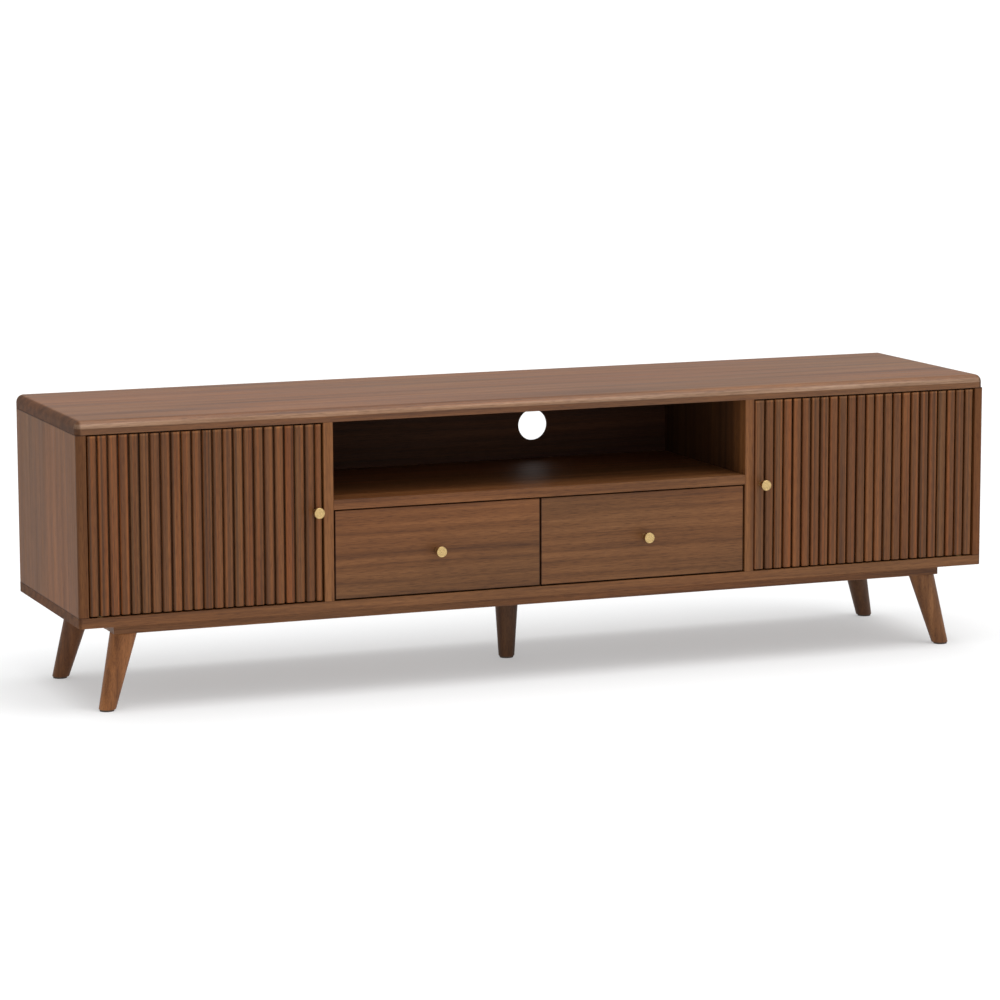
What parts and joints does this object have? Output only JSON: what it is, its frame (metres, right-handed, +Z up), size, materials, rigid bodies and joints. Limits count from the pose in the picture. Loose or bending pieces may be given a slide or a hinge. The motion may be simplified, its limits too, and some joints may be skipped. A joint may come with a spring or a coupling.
{
  "type": "tv stand with doors",
  "caption": "Long low stand with a slatted door at each end, an open niche with a cable hole over drawers, and a recessed frame on splayed tapered legs.",
  "frame": {"origin": "on the floor, under the middle of the whole piece, knobs included", "axes": "+X to the right along the width, +Y to the back, +Z up"},
  "size_m": [1.8, 0.443, 0.53],
  "materials": {
    "walnut": "satin walnut veneer",
    "walnut_top": "satin walnut veneer",
    "walnut_back": "dark walnut veneer",
    "birch": "clear lacquered plywood",
    "brass": "brushed",
    "steel": "zinc plated",
    "felt": "pressed felt",
    "catch_plastic": "moulded"
  },
  "bodies": {
    "carcass": {"top_panel": "walnut_top", "bottom_panel": "walnut", "left_side_panel": "walnut", "right_side_panel": "walnut", "left_divider": "walnut", "right_divider": "walnut", "niche_shelf": "walnut", "drawer_partition": "walnut", "left_back_panel": "walnut_back", "niche_back_panel": "walnut_back", "right_back_panel": "walnut_back", "left_cupboard_shelf": "walnut", "right_cupboard_shelf": "walnut", "shelf_pins": "steel", "front_frame_rail": "walnut", "rear_frame_rail": "walnut", "frame_cross_rails": "walnut", "front_left_leg": "walnut", "front_right_leg": "walnut", "rear_left_leg": "walnut", "rear_right_leg": "walnut", "centre_leg": "walnut", "leg_bolts": "steel", "foot_glides": "felt", "frame_screws": "steel", "carcass_dowels": "birch", "cam_locks": "steel", "cam_bolts": "steel", "hinge_bushes": "brass", "magnetic_catches": "catch_plastic", "fixed_slide_members": "steel"},
    "left_door": {"left_door_board": "walnut_back", "left_door_slats": "walnut", "left_door_pivot_pins": "steel", "left_door_knob": "brass", "left_door_knob_screw": "steel", "left_strike_plate": "steel"},
    "right_door": {"right_door_board": "walnut_back", "right_door_slats": "walnut", "right_door_pivot_pins": "steel", "right_door_knob": "brass", "right_door_knob_screw": "steel", "right_strike_plate": "steel"},
    "left_drawer": {"left_drawer_front": "walnut", "left_drawer_sides": "birch", "left_drawer_back": "birch", "left_drawer_bottom": "birch", "left_drawer_knob": "brass", "left_drawer_knob_screw": "steel", "left_drawer_slide_members": "steel"},
    "right_drawer": {"right_drawer_front": "walnut", "right_drawer_sides": "birch", "right_drawer_back": "birch", "right_drawer_bottom": "birch", "right_drawer_knob": "brass", "right_drawer_knob_screw": "steel", "right_drawer_slide_members": "steel"},
    "left_middle_slides": {"left_middle_slide_members": "steel"},
    "right_middle_slides": {"right_middle_slide_members": "steel"}
  },
  "joints": [
    {"name": "left_door_hinge", "type": "hinge", "parent": "carcass", "child": "left_door", "pos_m": [-0.858, -0.1835, 0.3415], "axis": [0, 0, -1], "range_deg": [0, 100]},
    {"name": "right_door_hinge", "type": "hinge", "parent": "carcass", "child": "right_door", "pos_m": [0.858, -0.1835, 0.3415], "axis": [0, 0, 1], "range_deg": [0, 100]},
    {"name": "left_drawer_slide", "type": "slide", "parent": "carcass", "child": "left_drawer", "axis": [0, -1, 0], "range_m": [0, 0.28]},
    {"name": "right_drawer_slide", "type": "slide", "parent": "carcass", "child": "right_drawer", "axis": [0, -1, 0], "range_m": [0, 0.28]},
    {"name": "left_middle_slide", "type": "slide", "parent": "carcass", "child": "left_middle_slides", "axis": [0, -1, 0], "range_m": [0, 0.14]},
    {"name": "right_middle_slide", "type": "slide", "parent": "carcass", "child": "right_middle_slides", "axis": [0, -1, 0], "range_m": [0, 0.14]}
  ],
  "couplings": [
    {"joint": "left_middle_slide", "follows": "left_drawer_slide", "ratio": 0.5},
    {"joint": "right_middle_slide", "follows": "right_drawer_slide", "ratio": 0.5}
  ]
}
